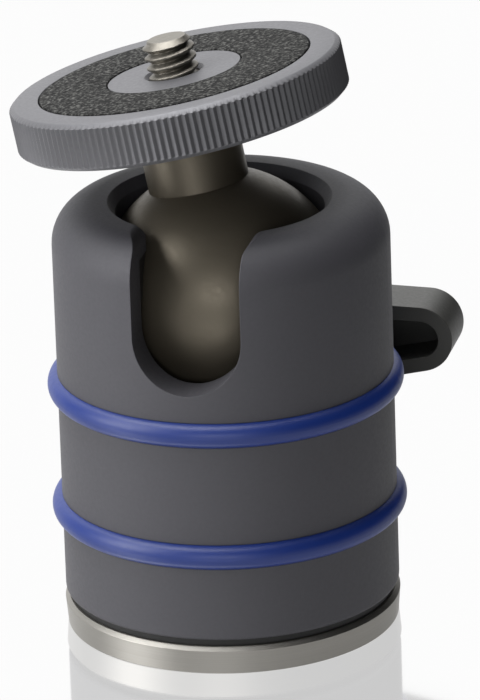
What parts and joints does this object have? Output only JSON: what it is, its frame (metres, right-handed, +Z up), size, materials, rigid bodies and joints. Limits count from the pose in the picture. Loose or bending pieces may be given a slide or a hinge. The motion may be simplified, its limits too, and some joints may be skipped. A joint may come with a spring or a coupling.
{
  "type": "tripod ball head",
  "caption": "Ball head with a notched round housing, rubber rings, clamp lever, knurled camera disc with pad and screw stud, on a turning threaded base.",
  "frame": {"origin": "centre of the mouth of the tripod thread, in the plane that the base stands on", "axes": "+Z up along the housing, -Y towards the notch, +Y towards the clamp lever, +X to the right when the notch faces the viewer"},
  "size_m": [0.05, 0.0535, 0.0757],
  "materials": {
    "base_steel": "brushed",
    "nylon_black": "matte",
    "plate_steel": "plain",
    "screw_steel": "blackened",
    "plug_aluminium": "satin",
    "housing_grey": "matte anodised",
    "ring_blue": "satin",
    "cup_acetal": "satin",
    "spring_steel": "plain",
    "brass": "plain",
    "lever_grey": "fine blasted",
    "ball_titanium_grey": "satin anodised",
    "stud_steel": "plain",
    "disc_grey": "matte anodised",
    "pad_cork_rubber": "granular"
  },
  "bodies": {
    "base": {"base_disc": "base_steel", "base_ring": "nylon_black", "keeper_plate": "plate_steel", "keeper_screws": "screw_steel"},
    "head": {"housing": "housing_grey", "bottom_plug": "plug_aluminium", "pan_washer": "nylon_black", "lower_o_ring": "ring_blue", "upper_o_ring": "ring_blue", "upper_seat_ring": "nylon_black", "cup_springs": "spring_steel", "screw_bush": "brass", "drag_spring": "spring_steel", "drag_grub_screw": "screw_steel"},
    "cup": {"clamp_cup": "cup_acetal"},
    "plunger": {"thrust_plunger": "brass"},
    "clamp_lever": {"lever": "lever_grey", "clamp_screw": "screw_steel", "lever_washer": "screw_steel", "lever_screw": "screw_steel"},
    "drag": {"drag_pad": "cup_acetal"},
    "ball_core": {"neck_screw": "screw_steel"},
    "ball_assembly": {"ball": "ball_titanium_grey", "neck": "ball_titanium_grey", "camera_stud": "stud_steel"},
    "disc_slip_washer": {"disc_washer": "nylon_black"},
    "disc": {"camera_disc": "disc_grey", "disc_pad": "pad_cork_rubber"}
  },
  "joints": [
    {"name": "base_pan", "type": "hinge", "parent": "base", "child": "head", "pos_m": [0, 0, 0], "axis": [0, 0, 1], "continuous": true},
    {"name": "side_tilt", "type": "hinge", "parent": "head", "child": "drag", "pos_m": [0, 0, 0.04315], "axis": [0, 1, 0], "range_deg": [-10, 34]},
    {"name": "front_tilt", "type": "hinge", "parent": "drag", "child": "ball_core", "pos_m": [0, 0, 0.04315], "axis": [0.9643, 0.2534, -0.0771], "range_deg": [-13, 95.8]},
    {"name": "ball_spin", "type": "hinge", "parent": "ball_core", "child": "ball_assembly", "pos_m": [0, 0, 0.04315], "axis": [-0.1924, 0.031, 0.9808], "continuous": true},
    {"name": "disc_turn", "type": "hinge", "parent": "disc_slip_washer", "child": "disc", "pos_m": [0, 0, 0.04315], "axis": [-0.1924, 0.031, 0.9808], "range_deg": [0, 360]},
    {"name": "disc_lift", "type": "slide", "parent": "ball_assembly", "child": "disc_slip_washer", "axis": [-0.1924, 0.031, 0.9808], "range_m": [0, 0.00128]},
    {"name": "lever_turn", "type": "hinge", "parent": "plunger", "child": "clamp_lever", "pos_m": [0, 0, 0.027], "axis": [0, 1, 0], "range_deg": [0, 90]},
    {"name": "screw_advance", "type": "slide", "parent": "head", "child": "plunger", "axis": [0, 1, 0], "range_m": [0, 0.00026]},
    {"name": "cup_lower", "type": "slide", "parent": "head", "child": "cup", "axis": [0, 0, -1], "range_m": [0, 0.00026]}
  ],
  "couplings": [
    {"joint": "disc_lift", "follows": "disc_turn", "m_per_rad": 0.00020213},
    {"joint": "screw_advance", "follows": "lever_turn", "m_per_rad": 0.00015915},
    {"joint": "cup_lower", "follows": "lever_turn", "m_per_rad": 0.00015915}
  ]
}
